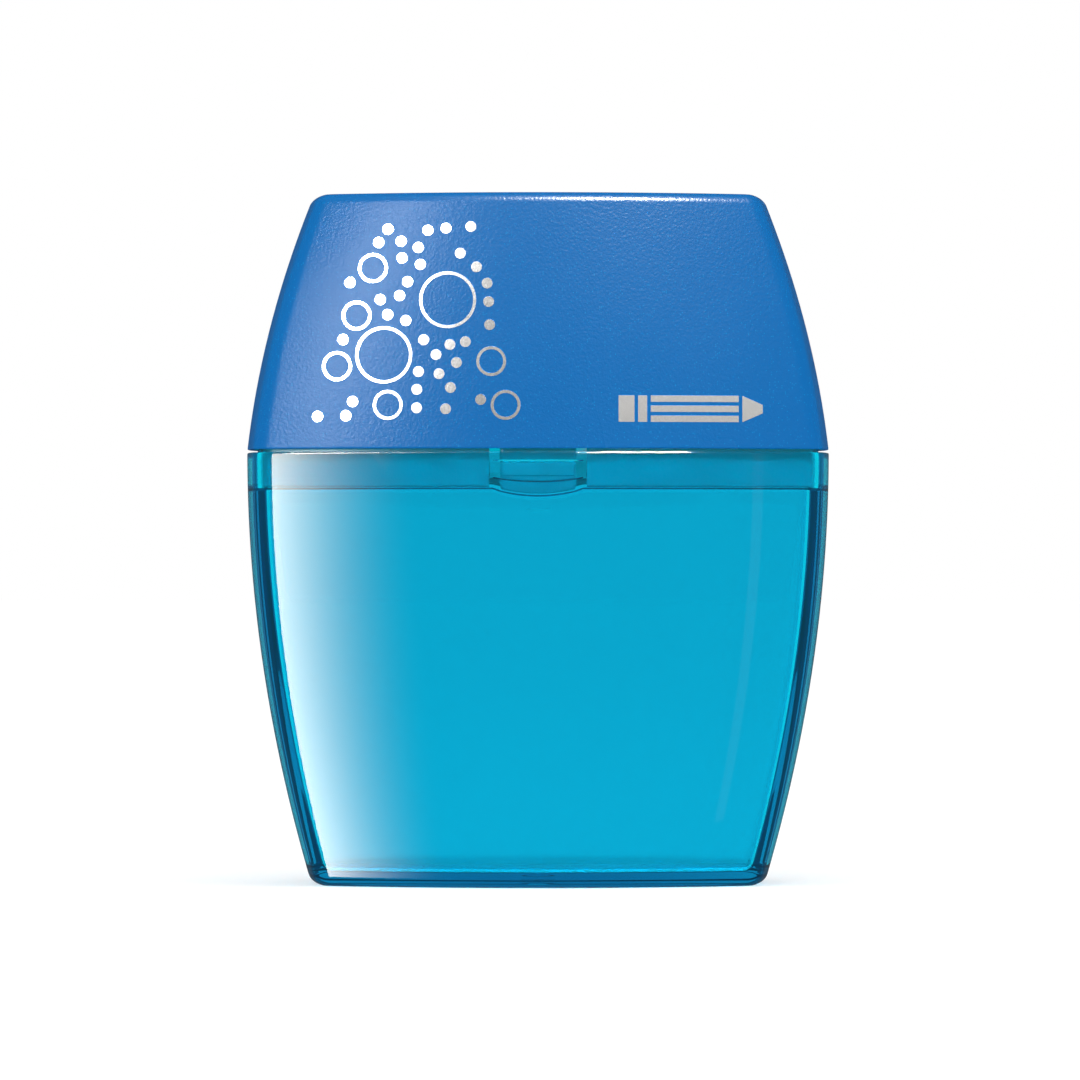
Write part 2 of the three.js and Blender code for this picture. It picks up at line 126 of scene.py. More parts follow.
def white_room():
    """A world that is white, and darker where it is mirrored."""
    world = bpy.data.worlds.new("white_room")
    world.use_nodes = True
    tree = world.node_tree
    background = tree.nodes["Background"]
    background.inputs["Color"].default_value = (1, 1, 1, 1)
    strength = node(tree, "ShaderNodeMapRange")
    feed(tree, to=strength, Value=mirror_share(tree), To_Min=ROOM_LIGHT, To_Max=ROOM_IN_MIRROR)
    feed(tree, to=background, Strength=strength.outputs[0])
    world.cycles.sampling_method = "NONE"
    bpy.context.scene.world = world


def pale_floor():
    """A round pale floor just under the container's foot. Like a product table's plastic sheet it
    is also lit from below, so shadows on it stay light."""
    mesh = bpy.data.meshes.new("floor")
    shape = bmesh.new()
    bmesh.ops.create_circle(shape, cap_ends=True, radius=FLOOR_RADIUS, segments=96)
    shape.to_mesh(mesh)
    shape.free()
    mesh.transform(Matrix.Translation((0, 0, -FLOOR_DROP)))
    floor = bpy.data.objects.new("floor", mesh)
    bpy.context.scene.collection.objects.link(floor)
    material, tree, shader = new_material("lit_sheet")
    shader.inputs["Base Color"].default_value = (0.5, 0.5, 0.5, 1)
    shader.inputs["Roughness"].default_value = 0.9
    shader.inputs["Specular IOR Level"].default_value = 0
    shader.inputs["Emission Color"].default_value = (1, 1, 1, 1)
    shader.inputs["Emission Strength"].default_value = 0.52
    floor.visible_glossy = False
    mesh.materials.append(material)
    return floor


white_room()
floor = pale_floor()
# Light that travels along inside a clear wall is reflected many times before it comes out.
bpy.context.scene.cycles.max_bounces = 32
bpy.context.scene.cycles.glossy_bounces = 24
bpy.context.scene.cycles.transmission_bounces = 24
print("floor", floor.name, "room", bpy.context.scene.world.name)

# %% [markdown]
# ## Softboxes
#
# A softbox is placed by where its reflection shows. The front is a slightly bowed mirror, so lamps
# to the left front make one tall soft streak down the left of the barrel, sharp on its outer edge and
# fading towards the middle. The fade is in the lamp: it glows less towards one side. The container's
# front leans down and the cap's leans up, so the streak takes two lamps, a low and a high one. The
# high one leans over, which carries the cap's sheen inwards as it rises. A thin lamp draws the line
# down the right, a small bright one catches the cap's top edge, and a soft one lights the top.

# %% Softboxes
AIM = Vector((0, 0, CAMERA_HEIGHT))


def softbox(name, yaw, rise, distance, size, glow, fade=0.0, lean=0.0, mirror_only=True):
    """A rectangular lamp aimed at the object. yaw runs from the camera's side towards +X, rise
    upwards and lean to the lamp's right, in degrees. Across its width it dims as
    (1 - share of the width) to the power fade."""
    data = bpy.data.lights.new(name, "AREA")
    data.shape = "RECTANGLE"
    data.size, data.size_y = size
    data.energy = glow * size[0] * size[1] * math.pi
    lamp = bpy.data.objects.new(name, data)
    around, up = math.radians(yaw), math.radians(rise)
    aim = Vector((math.sin(around) * math.cos(up), -math.cos(around) * math.cos(up), math.sin(up)))
    lamp.location = AIM + distance * aim
    turn = aim.to_track_quat("Z", "Y") @ Quaternion((0, 0, 1), math.radians(-lean))
    lamp.rotation_euler = turn.to_euler()
    lamp.visible_camera = False
    lamp.visible_transmission = False
    lamp.visible_diffuse = not mirror_only
    bpy.context.scene.collection.objects.link(lamp)
    if fade:
        data.use_nodes = True
        tree = data.node_tree
        place = node(tree, "ShaderNodeNewGeometry")
        split = node(tree, "ShaderNodeSeparateXYZ")
        left = node(tree, "ShaderNodeMath", operation="SUBTRACT")
        dim = node(tree, "ShaderNodeMath", operation="POWER")
        tree.links.new(place.outputs["Parametric"], split.inputs[0])
        left.inputs[0].default_value = 1
        tree.links.new(split.outputs["X"], left.inputs[1])
        tree.links.new(left.outputs[0], dim.inputs[0])
        dim.inputs[1].default_value = fade
        feed(tree, to=tree.nodes["Emission"], Strength=dim.outputs[0])
    return lamp


softbox("low_left", -33, -10.8, 0.9, (0.45, 0.52), 15.5, fade=3.0)
softbox("high_left", -27, 19.5, 0.9, (0.4, 0.57), 64, fade=3.0, lean=24)
softbox("right_line", 38, 4, 0.9, (0.03, 0.8), 0.16)
softbox("upper_fill", 22, 20, 0.9, (0.75, 0.35), 0.35)
softbox("edge_light", 25, 57, 0.8, (0.2, 0.15), 820)
softbox("top_light", 10, 75, 0.8, (0.5, 0.35), 3, mirror_only=False)

# %% [markdown]
# ## The barrel's skin
#
# Cap and container share one outer skin, so it is worked out once. In plan it is a rectangle whose
# four sides bow outwards and meet in small corner arcs. Going up, the plan is only stretched: widest
# at the seam, narrower below and above. A wall's inner side is the same plan moved inwards.

# %% Plan and skin
RIM_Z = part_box("container")[1].z
cap_low, cap_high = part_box("cap_shell")
CAP_Z, TOP_Z = cap_low.z, cap_high.z
SEAM_Z = (RIM_Z + CAP_Z) / 2
SEAM_HALF = (28 * mm, 15 * mm)
BASE_HALF = (21.85 * mm, 11.8 * mm)
TOP_HALF = (21.65 * mm, 11.5 * mm)
CAP_BULGE = (0.9 * mm, 0.5 * mm)
FRONT_CROWN = 6 * mm
SIDE_CROWN = 1 * mm
CORNER = 2.6 * mm


def bow_radius(half_chord, crown):
    """The radius of an arc that rises by crown over half its chord."""
    return (half_chord**2 + crown**2) / (2 * crown)


def half_size(z, axis):
    """Half the width (axis 0) or depth (axis 1) at heights z. Below the seam it shrinks with the
    square of the distance, above it in a straight line with a slight bulge."""
    seam, base, top = SEAM_HALF[axis], BASE_HALF[axis], TOP_HALF[axis]
    down = (SEAM_Z - z) / SEAM_Z
    up = (z - SEAM_Z) / (TOP_Z - SEAM_Z)
    container = seam - (seam - base) * down**2
    cap = seam - (seam - top) * up + 4 * CAP_BULGE[axis] * up * (1 - up)
    return np.where(z < SEAM_Z, container, cap)


FRONT_RADIUS = bow_radius(SEAM_HALF[0], FRONT_CROWN)
SIDE_RADIUS = bow_radius(SEAM_HALF[1] - FRONT_CROWN, SIDE_CROWN)


def corner_centre():
    """Where the corner arc is centred: circles round the front's and the side's centre cross there,
    each smaller than its arc by the corner radius."""
    front = np.array([0, FRONT_RADIUS - SEAM_HALF[1]])
    side = np.array([SEAM_HALF[0] - SIDE_RADIUS, 0])
    apart = np.linalg.norm(side - front)
    along = ((FRONT_RADIUS - CORNER) ** 2 - (SIDE_RADIUS - CORNER) ** 2 + apart**2) / (2 * apart)
    across = math.sqrt((FRONT_RADIUS - CORNER) ** 2 - along**2)
    unit = (side - front) / apart
    return front + unit * along + np.array([-unit[1], unit[0]]) * across


def plan_arcs(face_steps=110, corner_steps=12, side_steps=34):
    """The plan, anticlockwise, as one row for each point: its arc's centre, radius and angle."""
    corner = corner_centre()
    front = np.array([0, FRONT_RADIUS - SEAM_HALF[1]])
    side = np.array([SEAM_HALF[0] - SIDE_RADIUS, 0])
    a = math.atan2(*(corner - front)[::-1])
    b = math.atan2(*(corner - side)[::-1])
    pi = math.pi
    arcs = [
        (front, FRONT_RADIUS, -pi - a, a, face_steps),
        (corner, CORNER, a, b, corner_steps),
        (side, SIDE_RADIUS, b, -b, side_steps),
        (corner * (1, -1), CORNER, -b, -a, corner_steps),
        (-front, FRONT_RADIUS, -a, pi + a, face_steps),
        (-corner, CORNER, pi + a, pi + b, corner_steps),
        (-side, SIDE_RADIUS, pi + b, pi - b, side_steps),
        (corner * (-1, 1), CORNER, pi - b, pi - a, corner_steps),
    ]
    rows = []
    for centre, radius, start, stop, steps in arcs:
        angle = np.linspace(start, stop, steps, endpoint=False)
        rows.append(np.column_stack([np.full((steps, 2), centre), np.full(steps, radius), angle]))
    return np.concatenate(rows)


PLAN = plan_arcs()


def skin(inset, z):
    """Points of the skin moved inwards by inset at heights z: the plan's arcs with their radii made
    smaller by inset, stretched to the half sizes at z. Returns rings x points x 3."""
    inset, z = np.broadcast_arrays(np.atleast_1d(inset), np.atleast_1d(z))
    radius = PLAN[:, 2] - inset[:, None]
    x = PLAN[:, 0] + radius * np.cos(PLAN[:, 3])
    y = PLAN[:, 1] + radius * np.sin(PLAN[:, 3])
    wide = (half_size(z, 0) - inset) / (SEAM_HALF[0] - inset)
    deep = (half_size(z, 1) - inset) / (SEAM_HALF[1] - inset)
    return np.stack([x * wide[:, None], y * deep[:, None], np.repeat(z[:, None], len(PLAN), 1)], 2)


print("plan points:", len(PLAN), "front radius mm:", round(FRONT_RADIUS / mm, 1))

# %% [markdown]
# ## From rings to a closed piece
#
# A hollow moulding is one profile carried round the plan: up the outside, over the rim and down the
# inside. Where the profile reaches the middle of a floor or a top, the ring closes into one point. A
# flat floor runs in straight lines from a small circle at the gate to the outline.

# %% Grid to mesh
def grid_mesh(rings, start=None, stop=None, wrap_rings=False):
    """A mesh from rings x points x 3, each ring closed on itself. start and stop are points that
    close the first and the last ring, and wrap_rings joins the last ring to the first instead."""
    count, around = rings.shape[:2]
    v = np.arange(count if wrap_rings else count - 1)[:, None]
    u = np.arange(around)[None, :]
    nxt, side = (v + 1) % count, (u + 1) % around
    quads = np.stack(
        [v * around + u, v * around + side, nxt * around + side, nxt * around + u], -1
    )
    points = [rings.reshape(-1, 3)]
    faces = quads.reshape(-1, 4).tolist()
    for pole, ring, turn in ((start, 0, False), (stop, count - 1, True)):
        if pole is None:
            continue
        index = count * around + len(points) - 1
        points.append(np.reshape(pole, (1, 3)))
        first, second = ring * around + u[0], ring * around + side[0]
        pair = (first, second) if turn else (second, first)
        faces += np.stack([*pair, np.full(around, index)], -1).tolist()
    mesh = bpy.data.meshes.new("grid")
    mesh.from_pydata(np.concatenate(points).tolist(), [], faces)
    mesh.validate()
    return mesh


def piece(name, mesh, body, slot, sharp=40):
    """An object from a mesh, smooth except over edges sharper than an angle, riding on a body, with
    the finish of its slot in the record."""
    mesh.name = name
    mesh.materials.clear()
    mesh.materials.append(FINISHES[slot])
    mesh.shade_smooth()
    mesh.set_sharp_from_angle(angle=math.radians(sharp))
    made = bpy.data.objects.new(name, mesh)
    bpy.context.scene.collection.objects.link(made)
    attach(made, body)
    return made


def bend(centre, radius, start, stop, steps=6):
    """An arc of a profile: (inset, z) points round a centre, from angle start to stop in
    degrees, where 0 points inwards and 90 up."""
    angle = np.radians(np.linspace(start, stop, steps + 1))
    return np.column_stack([centre[0] + radius * np.cos(angle), centre[1] + radius * np.sin(angle)])


def run(start, stop, steps):
    """A straight stretch of a profile without its two ends, its points closer together near both
    so that the smooth shading of a rounded edge stops where the rounding does."""
    turn = np.linspace(0, math.pi, steps + 2)[1:-1, None]
    share = (1 - np.cos(turn)) / 2
    return (1 - share) * np.array(start) + share * np.array(stop)


def spread(outline, circle_radius, z_inside, steps=14):
    """Rings that run in straight lines from a circle about the axis to an outline, closer
    together near both."""
    angle = np.arctan2(outline[:, 1], outline[:, 0])
    circle = circle_radius * np.column_stack([np.cos(angle), np.sin(angle)])
    share = (1 - np.cos(np.linspace(0, math.pi, steps + 1)[:-1])) / 2
    flat = (1 - share[:, None, None]) * circle + share[:, None, None] * outline[:, :2]
    z = np.broadcast_to(np.reshape(z_inside, (-1, 1, 1)), (steps, len(outline), 1))
    return np.concatenate([flat, z], 2)


def discs(radii, heights):
    """Circles about the axis, one for each radius and height, with the plan's point count."""
    outline = skin(0, SEAM_Z)[0]
    angle = np.arctan2(outline[:, 1], outline[:, 0])
    radii, heights = np.array(radii)[:, None], np.array(heights)[:, None]
    flat = [radii * np.cos(angle), radii * np.sin(angle), heights + 0 * angle]
    return np.stack(flat, 2)


# %% [markdown]
# ## Effects that several finishes share
#
# Three things turn up on more than one piece: the fine grain of a mould, the soft clouding of
# handling, and the fine lines that a cutter or a grinding wheel leaves. The handling group also
# makes hair scratches, which no finish uses. Each is a node group, built once, and each finish
# places it with its own values.

# %% Node groups
def node_group(name, inputs, outputs):
    """An empty shader node group with named number sockets, and its two end nodes."""
    tree = bpy.data.node_groups.new(name, "ShaderNodeTree")
    for label, value in inputs.items():
        socket = tree.interface.new_socket(label, in_out="INPUT", socket_type="NodeSocketFloat")
        socket.default_value = value
    for label in outputs:
        tree.interface.new_socket(label, in_out="OUTPUT", socket_type="NodeSocketFloat")
    return tree, node(tree, "NodeGroupInput").outputs, node(tree, "NodeGroupOutput").inputs


def object_noise(tree, scale, detail=3.0, stretch=None):
    """Noise on Object coordinates, stretched along the axes where asked. Scale is per metre."""
    place = node(tree, "ShaderNodeTexCoord").outputs["Object"]
    if stretch:
        mapping = node(tree, "ShaderNodeMapping")
        feed(tree, to=mapping, Vector=place, Scale=stretch)
        place = mapping.outputs[0]
    noise = node(tree, "ShaderNodeTexNoise")
    feed(tree, to=noise, Vector=place, Scale=scale, Detail=detail)
    return noise.outputs[0]


def threshold(tree, value, low, high):
    """0 below low, 1 above high, and a smooth ramp between."""
    ramp = node(tree, "ShaderNodeMapRange", interpolation_type="SMOOTHSTEP")
    feed(tree, to=ramp, Value=value, From_Min=low, From_Max=high)
    return ramp.outputs[0]


def mould_grain_group():
    """Height: fine even grain. Fleck: scattered small spots, where a random cell value is high."""
    tree, inputs, outputs = node_group(
        "mould_grain", {"Grain": 3000.0, "Flecks": 1500.0, "Rarity": 0.8}, ["Height", "Fleck"]
    )
    tree.links.new(object_noise(tree, inputs["Grain"], 2.0), outputs["Height"])
    cells = node(tree, "ShaderNodeTexVoronoi")
    place = node(tree, "ShaderNodeTexCoord").outputs["Object"]
    feed(tree, to=cells, Vector=place, Scale=inputs["Flecks"])
    chance = node(tree, "ShaderNodeSeparateColor")
    tree.links.new(cells.outputs["Color"], chance.inputs[0])
    rare = node(tree, "ShaderNodeMath", operation="GREATER_THAN")
    tree.links.new(chance.outputs[0], rare.inputs[0])
    tree.links.new(inputs["Rarity"], rare.inputs[1])
    core = threshold(tree, cells.outputs["Distance"], 0.45, 0.1)
    spot = node(tree, "ShaderNodeMath", operation="MULTIPLY")
    tree.links.new(rare.outputs[0], spot.inputs[0])
    tree.links.new(core, spot.inputs[1])
    tree.links.new(spot.outputs[0], outputs["Fleck"])
    return tree


def handling_group():
    """Cloud: soft patches a few millimetres wide. Scratch: sparse hair lines."""
    tree, inputs, outputs = node_group("handling", {"Cloud size": 120.0}, ["Cloud", "Scratch"])
    tree.links.new(object_noise(tree, inputs["Cloud size"], 2.0), outputs["Cloud"])
    lines = object_noise(tree, 700.0, 1.0, stretch=(1.0, 1.0, 0.06))
    gate = object_noise(tree, 200.0, 0.0)
    both = node(tree, "ShaderNodeMath", operation="MULTIPLY")
    tree.links.new(threshold(tree, lines, 0.7, 0.76), both.inputs[0])
    tree.links.new(threshold(tree, gate, 0.55, 0.65), both.inputs[1])
    tree.links.new(both.outputs[0], outputs["Scratch"])
    return tree


def tool_marks_group():
    """Line: fine parallel lines along Z, as milling or grinding leaves. Patch: soft wide tone."""
    tree, inputs, outputs = node_group("tool_marks", {"Lines": 2500.0}, ["Line", "Patch"])
    line = object_noise(tree, inputs["Lines"], 2.0, stretch=(1.0, 1.0, 0.03))
    tree.links.new(line, outputs["Line"])
    tree.links.new(object_noise(tree, 300.0, 3.0), outputs["Patch"])
    return tree


GRAIN, HANDLING, TOOL_MARKS = mould_grain_group(), handling_group(), tool_marks_group()


def effect(tree, group, **values):
    """Places a shared effect in a material and returns its outputs."""
    placed = node(tree, "ShaderNodeGroup", node_tree=group)
    feed(tree, to=placed, **values)
    return placed.outputs


def between(tree, low, high, share):
    """A value or colour between low and high by a share that changes over the surface."""
    if isinstance(low, tuple):
        mix = node(tree, "ShaderNodeMix", data_type="RGBA")
        mix.inputs["A"].default_value = (*low, 1)
        mix.inputs["B"].default_value = (*high, 1)
        tree.links.new(share, mix.inputs["Factor"])
        return mix.outputs["Result"]
    ramp = node(tree, "ShaderNodeMapRange")
    feed(tree, to=ramp, Value=share, To_Min=low, To_Max=high)
    return ramp.outputs[0]


def bump(tree, shader, height, distance, strength=1.0):
    """Feeds the shader's Normal from a height. distance is what a height of 1 stands for."""
    made = node(tree, "ShaderNodeBump")
    feed(tree, to=made, Height=height, Distance=distance, Strength=strength)
    feed(tree, to=shader, Normal=made.outputs[0])


print("effects:", [group.name for group in (GRAIN, HANDLING, TOOL_MARKS)])

# %% [markdown]
# ## Clear turquoise plastic
#
# The container is dyed polystyrene. Light loses colour in the depth of the plastic, so the tint is a
# volume that absorbs red, and a little green, over each millimetre. A tinted surface alone would
# look the same through a thin wall and along a thick one. Part of the tint stays on the surface,
# which keeps the long ways through the side walls from going black. A trace of painted glow, light
# that the plastic gives off though it is no lamp, lightens the thin dark lines where light is caught
# inside a wall.

# %% Clear turquoise
ABSORPTION = 140.0  # per metre
VOLUME_TINT = (0.0, 0.5, 0.71)
SURFACE_TINT = ((0.0, 0.670, 0.806), (0.0, 0.656, 0.794))
# painted light: a faint glow that the plastic gives off though it is no lamp, to lighten dark lines inside
# the walls
PAINTED_GLOW = (0.0, 0.012, 0.016)


def clear_turquoise():
    """Clear dyed plastic: a tinted surface round a volume that absorbs red."""
    material, tree, shader = new_material("dyed_clear_plastic")
    handled = effect(tree, HANDLING, Cloud_size=90.0)
    feed(tree, to=shader, Base_Color=between(tree, *SURFACE_TINT, handled["Cloud"]))
    shader.inputs["Roughness"].default_value = 0.02
    shader.inputs["IOR"].default_value = 1.57
    shader.inputs["Transmission Weight"].default_value = 1.0
    shader.inputs["Specular Tint"].default_value = (1.0, 0.85, 0.7, 1)
    # painted glow: a trace of emitted light that lightens the thin dark lines inside the walls
    shader.inputs["Emission Color"].default_value = (*PAINTED_GLOW, 1)
    shader.inputs["Emission Strength"].default_value = 1.0
    bump(tree, shader, handled["Cloud"], 0.02 * mm, 0.3)
    depth = node(tree, "ShaderNodeVolumeAbsorption")
    depth.inputs["Color"].default_value = (*VOLUME_TINT, 1)
    depth.inputs["Density"].default_value = ABSORPTION
    tree.links.new(depth.outputs[0], tree.nodes["Material Output"].inputs["Volume"])
    return material


# %% [markdown]
# ## Satin blue plastic
#
# The cap is opaque, with a fine spark-eroded grain that spreads each reflection into a sheen, and a
# pinch of pearl pigment in the plastic that glints as tiny pale flecks.

# %% Satin blue
CAP_BLUE = ((0.0, 0.132, 0.415), (0.0, 0.145, 0.445))
PEARL = (0.0, 0.26, 0.62)


def satin_blue():
    """Opaque grained plastic with flecks of pearl."""
    material, tree, shader = new_material("grained_blue_plastic")
    handled = effect(tree, HANDLING, Cloud_size=60.0)
    grain = effect(tree, GRAIN, Grain=3600.0, Flecks=6000.0, Rarity=0.86)
    body = between(tree, *CAP_BLUE, handled["Cloud"])
    fleck = node(tree, "ShaderNodeMix", data_type="RGBA")
    tree.links.new(grain["Fleck"], fleck.inputs["Factor"])
    tree.links.new(body, fleck.inputs["A"])
    fleck.inputs["B"].default_value = (*PEARL, 1)
    feed(tree, to=shader, Base_Color=fleck.outputs["Result"])
    feed(tree, to=shader, Roughness=between(tree, 0.24, 0.31, handled["Cloud"]))
    shader.inputs["Specular IOR Level"].default_value = 0.12
    bump(tree, shader, grain["Height"], 0.04 * mm, 0.8)
    return material


# %% [markdown]
# ## Silver foil
#
# The print is hot-stamped foil: a metal film, a little rough from the grain under it. It is bright
# where it mirrors a softbox and grey where it mirrors the dark of the room.

# %% Silver foil
FOIL_TONES = ((0.74, 0.73, 0.71), (0.9, 0.89, 0.87))


def silver_foil():
    """A stamped metal film with the plastic's grain showing through it."""
    material, tree, shader = new_material("stamped_foil")
    grain = effect(tree, GRAIN, Grain=5200.0)
    feed(tree, to=shader, Base_Color=between(tree, *FOIL_TONES, grain["Height"]))
    feed(tree, to=shader, Metallic=between(tree, 0.75, 0.85, grain["Height"]))
    feed(tree, to=shader, Roughness=between(tree, 0.14, 0.24, grain["Height"]))
    bump(tree, shader, grain["Height"], 0.01 * mm, 0.4)
    return material


# %% [markdown]
# ## Teal nylon, cast metal, steel and brass
#
# The carrier and its tongues are satin nylon that can flex. The twin sharpener is cast in light
# alloy and milled, so it has fine cutter lines. The blades are ground steel, brighter and with finer
# lines. The screws are turned brass.

# %% Teal nylon and metals
NYLON_TONES = ((0.004, 0.26, 0.31), (0.006, 0.29, 0.34))


def teal_nylon():
    """Satin nylon with a faint grain."""
    material, tree, shader = new_material("satin_nylon")
    handled = effect(tree, HANDLING, Cloud_size=150.0)
    grain = effect(tree, GRAIN, Grain=2500.0)
    feed(tree, to=shader, Base_Color=between(tree, *NYLON_TONES, handled["Cloud"]))
    feed(tree, to=shader, Roughness=between(tree, 0.2, 0.3, handled["Cloud"]))
    bump(tree, shader, grain["Height"], 0.01 * mm, 0.4)
    return material


def metal(name, dull, bright, rough, lines, depth):
    """A worked metal: two tones, a range of roughness, and tool lines of a depth."""
    material, tree, shader = new_material(name)
    marks = effect(tree, TOOL_MARKS, Lines=lines)
    handled = effect(tree, HANDLING, Cloud_size=250.0)
    feed(tree, to=shader, Base_Color=between(tree, dull, bright, marks["Patch"]))
    feed(tree, to=shader, Roughness=between(tree, *rough, handled["Cloud"]))
    shader.inputs["Metallic"].default_value = 1.0
    bump(tree, shader, marks["Line"], depth, 0.6)
    return material


ALLOY = ((0.46, 0.47, 0.48), (0.62, 0.63, 0.64))
GROUND = ((0.55, 0.56, 0.58), (0.72, 0.73, 0.75))
GOLDEN = ((0.55, 0.42, 0.18), (0.74, 0.6, 0.3))
FINISHES = {
    "clear_turquoise": clear_turquoise(),
    "satin_blue": satin_blue(),
    "silver_foil": silver_foil(),
    "teal_nylon": teal_nylon(),
    "cast_metal": metal("milled_alloy", *ALLOY, (0.3, 0.45), 1800.0, 0.02 * mm),
    "blade_steel": metal("ground_steel", *GROUND, (0.15, 0.3), 4500.0, 0.006 * mm),
    "screw_brass": metal("turned_brass", *GOLDEN, (0.2, 0.35), 3000.0, 0.01 * mm),
}
print("finishes:", {slot: finish.name for slot, finish in FINISHES.items()})

# %% [markdown]
# ## Container
#
# The container is one injection moulding in clear plastic, 1.6 mm thick. Its rim is stepped to half
# that, so that the carrier's ring slides in and rests on the ledge. In front and at the back the
# ledge dips for a latch tongue's curved tip, and a shallow groove takes the tongue's catch. The
# plastic came in through a gate under the floor, which leaves a small round recess.
#
# A boolean could cut all this from blocks, but clear plastic shows every stray edge. Carrying one
# profile round the plan keeps the surface even, and the dip and the groove are small moves of the
# rings near them.

# %% Container
WALL = 1.6 * mm
FLOOR = 1.5 * mm
RIM_WALL = 0.8 * mm
SLIP = 0.2 * mm
EDGE = 0.9 * mm
INNER_EDGE = 0.8 * mm
TINY = 0.12 * mm  # the smallest fillet a mould leaves
RING_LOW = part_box("carrier")[0].z
tongue_low, tongue_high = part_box("front_latch_tongue")
SEAT = 0.1 * mm
LEDGE_Z = RING_LOW - SEAT
TONGUE_HALF = tongue_high.x
TIP_RADIUS = 14 * mm
CATCH_LOW = RING_LOW + 1.2 * mm
CATCH_HIGH = CATCH_LOW + 1.1 * mm
GROOVE = 0.3 * mm
GATE_RADIUS = 1.6 * mm
GATE_DEPTH = 0.5 * mm


def soft_step(value, low, high):
    """0 below low, 1 above high, and a smooth ramp between."""
    share = np.clip((value - low) / (high - low), 0, 1)
    return share * share * (3 - 2 * share)


def container_profile():
    """(inset, z) from the foot's edge up the outside, over the rim, down to the ledge and down the
    inner wall to the floor's fillet."""
    groove = [CATCH_HIGH + SLIP, CATCH_LOW - SLIP]
    near_groove = [z + d for z in groove for d in (TINY, 0.0)]
    rim_wall = sorted([*near_groove, LEDGE_Z + 1 * mm, LEDGE_Z + 0.5 * mm], reverse=True)
    return np.concatenate([
        bend((EDGE, EDGE), EDGE, 270, 180, 8),
        run((0, EDGE), (0, RIM_Z - TINY), 34),
        bend((TINY, RIM_Z - TINY), TINY, 180, 90, 3),
        bend((RIM_WALL - TINY, RIM_Z - TINY), TINY, 90, 0, 3),
        [(RIM_WALL, z) for z in rim_wall],
        bend((RIM_WALL + TINY, LEDGE_Z + TINY), TINY, 180, 270, 3),
        bend((WALL - TINY, LEDGE_Z - TINY), TINY, 90, 0, 3),
        run((WALL, LEDGE_Z - TINY), (WALL, FLOOR + INNER_EDGE), 34),
        bend((WALL + INNER_EDGE, FLOOR + INNER_EDGE), INNER_EDGE, 180, 270, 7),
    ])


def cut_tongue_seat(rings, profile):
    """Moves the inner rings near the ledge. In front of and behind the middle, within a tongue's
    width, the ledge drops to an arc, and the rim wall moves outwards over the groove's height."""
    inset, z = profile[:, 0, None], profile[:, 1, None]
    x, y = rings[..., 0], rings[..., 1]
    inside = (inset > RIM_WALL - TINY / 2) & (z < RIM_Z - TINY / 2) & (z > FLOOR + INNER_EDGE)
    across = 1 - soft_step(np.abs(x), TONGUE_HALF + SLIP - 0.15 * mm, TONGUE_HALF + SLIP + 0.25 * mm)
    across = across * (np.abs(y) > SEAM_HALF[1] / 2) * inside
    arc = tongue_low.z + TIP_RADIUS - np.sqrt((TIP_RADIUS + SLIP) ** 2 - np.clip(x**2, 0, 1e-4))
    near = 1 - soft_step(np.abs(z - LEDGE_Z + 0.3 * mm), 0.6 * mm, 2.2 * mm)
    rings[..., 2] -= across * near * (LEDGE_Z - arc)
    low, high = CATCH_LOW - SLIP, CATCH_HIGH + SLIP
    over = (z > low - TINY / 2) & (z < high + TINY / 2)
    rings[..., 1] += np.sign(y) * across * over * GROOVE
    return rings


def container_mesh():
    """The walls with the tongue seats cut, closed by flat floors that run in to the gate recess
    under the floor and to its shallow dimple above."""
    profile = container_profile()
    walls = cut_tongue_seat(skin(profile[:, 0], profile[:, 1]), profile)
    gate = discs(
        np.array([0.4, 0.8, 0.95, 1]) * GATE_RADIUS,
        np.array([1, 0.96, 0.5, 0]) * GATE_DEPTH,
    )
    under = spread(walls[0], GATE_RADIUS * 1.1, 0)
    floor_top = spread(walls[-1], GATE_RADIUS, FLOOR)[::-1]
    dimple = discs(np.array([0.8, 0.5]) * GATE_RADIUS, [FLOOR - 0.06 * mm, FLOOR - 0.12 * mm])
    rings = np.concatenate([gate, under, walls, floor_top, dimple])
    return grid_mesh(rings, (0, 0, GATE_DEPTH), (0, 0, FLOOR - 0.14 * mm))


container = piece("container_moulding", container_mesh(), "container", "clear_turquoise")
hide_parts("container")
print("container faces:", len(container.data.polygons))

# %% [markdown]
# ## Cutting one solid with another
#
# Round holes in a flat top don't follow the plan's rings. They are cut with turned solids whose
# upper end flares, so that each hole gets the rounded lip of a moulded part.

# %% Turned solids and booleans
def turned(profile, centre, steps=96):
    """A solid of revolution about an upright axis, from (radius, z) points that start and end on
    the axis."""
    angle = np.linspace(0, 2 * math.pi, steps, endpoint=False)
    radius, z = np.array(profile)[1:-1].T
    x = centre[0] + radius[:, None] * np.cos(angle)
    y = centre[1] + radius[:, None] * np.sin(angle)
    rings = np.stack([x, y, z[:, None] + 0 * angle], 2)
    return grid_mesh(rings, (*centre, profile[0][1]), (*centre, profile[-1][1]))


def block(low, high):
    """A box between two corners."""
    shape = bmesh.new()
    bmesh.ops.create_cube(shape, size=1)
    size = np.subtract(high, low)
    middle = np.add(high, low) / 2
    bmesh.ops.transform(
        shape, matrix=Matrix.Translation(middle) @ Matrix.Diagonal((*size, 1)), verts=shape.verts
    )
    mesh = bpy.data.meshes.new("block")
    shape.to_mesh(mesh)
    shape.free()
    return mesh


